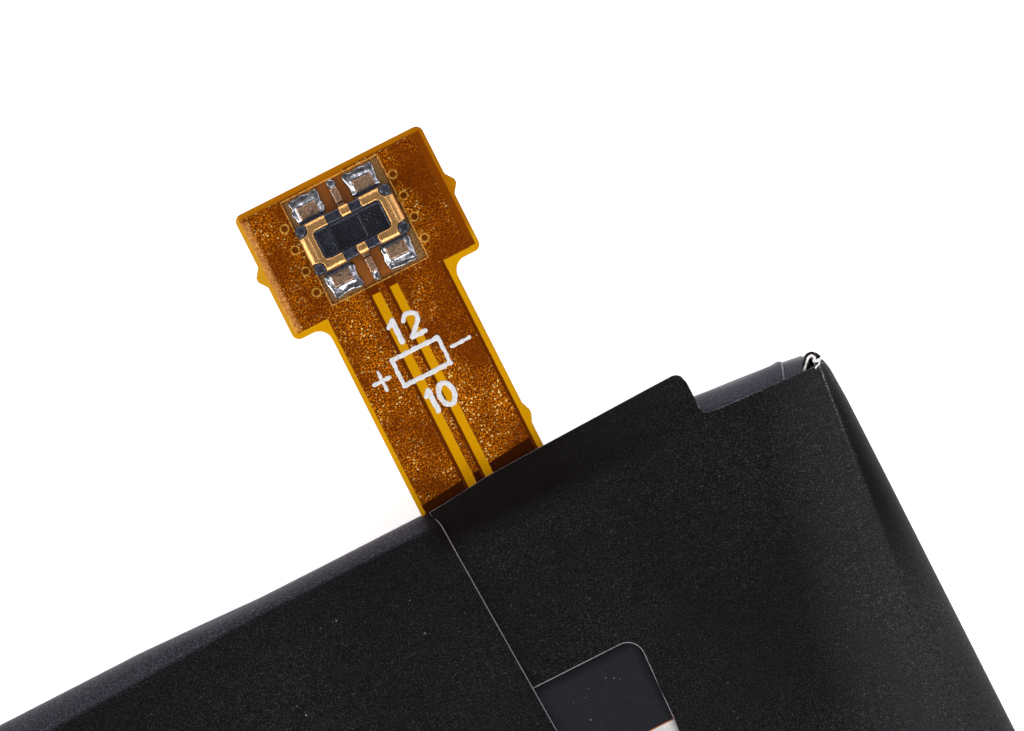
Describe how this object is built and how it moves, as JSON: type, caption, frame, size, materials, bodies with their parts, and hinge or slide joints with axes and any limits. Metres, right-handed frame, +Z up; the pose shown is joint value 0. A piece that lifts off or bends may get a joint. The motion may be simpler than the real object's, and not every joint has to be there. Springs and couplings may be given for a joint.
{
  "type": "mobile phone battery",
  "caption": "Flat film-wrapped pouch battery for a phone, with a short flex tail that ends in a board-to-board connector.",
  "frame": {"origin": "middle of the pack's back face, which the pack lies on", "axes": "+X across the pack to the tail's side, +Y along the pack towards the flex tail, +Z up through the thickness, from the back to the seamed front"},
  "size_m": [0.058, 0.0937, 0.0048],
  "materials": {
    "wrap_film": "matt black film with a fine grain",
    "top_wall_tape": "smooth black tape, satin",
    "corner_fold": "clear glossy film",
    "inner_label": "glossy black label with a pale field",
    "cell_pouch": "laminated aluminium pouch, satin",
    "positive_tab": "aluminium strip",
    "negative_tab": "nickel strip",
    "tab_sealant": "cream sealing film",
    "terrace_tape": "amber insulating tape",
    "terrace_foam": "black foam",
    "cover_foam": "black foam",
    "protection_board": "green board",
    "protection_ic": "black moulded chip",
    "power_transistors": "black moulded chips",
    "current_fuse": "ceramic body",
    "chip_resistors": "black chips with tinned ends",
    "chip_capacitors": "tan ceramic chips",
    "weld_plates": "nickel plates",
    "flex_base": "amber polyimide film",
    "positive_copper": "etched copper",
    "negative_copper": "etched copper",
    "signal_copper": "etched copper",
    "back_copper": "etched copper",
    "plated_vias": "plated copper",
    "front_coverlay": "amber cover film over grained copper",
    "back_coverlay": "amber cover film",
    "head_stiffener": "glass and resin laminate",
    "connector_housing": "black moulded plastic",
    "power_contact_left": "gold-plated spring copper",
    "power_contact_right": "gold-plated spring copper",
    "signal_contact_upper": "gold-plated spring copper",
    "signal_contact_lower": "gold-plated spring copper",
    "solder_joints": "bright solder"
  },
  "bodies": {
    "root": {"wrap_film": "wrap_film", "top_wall_tape": "top_wall_tape", "corner_fold": "corner_fold", "inner_label": "inner_label", "cell_pouch": "cell_pouch", "positive_tab": "positive_tab", "negative_tab": "negative_tab", "tab_sealant": "tab_sealant", "terrace_tape": "terrace_tape", "terrace_foam": "terrace_foam", "cover_foam": "cover_foam", "protection_board": "protection_board", "protection_ic": "protection_ic", "power_transistors": "power_transistors", "current_fuse": "current_fuse", "chip_resistors": "chip_resistors", "chip_capacitors": "chip_capacitors", "weld_plates": "weld_plates", "flex_base": "flex_base", "positive_copper": "positive_copper", "negative_copper": "negative_copper", "signal_copper": "signal_copper", "back_copper": "back_copper", "plated_vias": "plated_vias", "front_coverlay": "front_coverlay", "back_coverlay": "back_coverlay", "head_stiffener": "head_stiffener", "connector_housing": "connector_housing", "power_contact_left": "power_contact_left", "power_contact_right": "power_contact_right", "signal_contact_upper": "signal_contact_upper", "signal_contact_lower": "signal_contact_lower", "solder_joints": "solder_joints"}
  },
  "joints": []
}
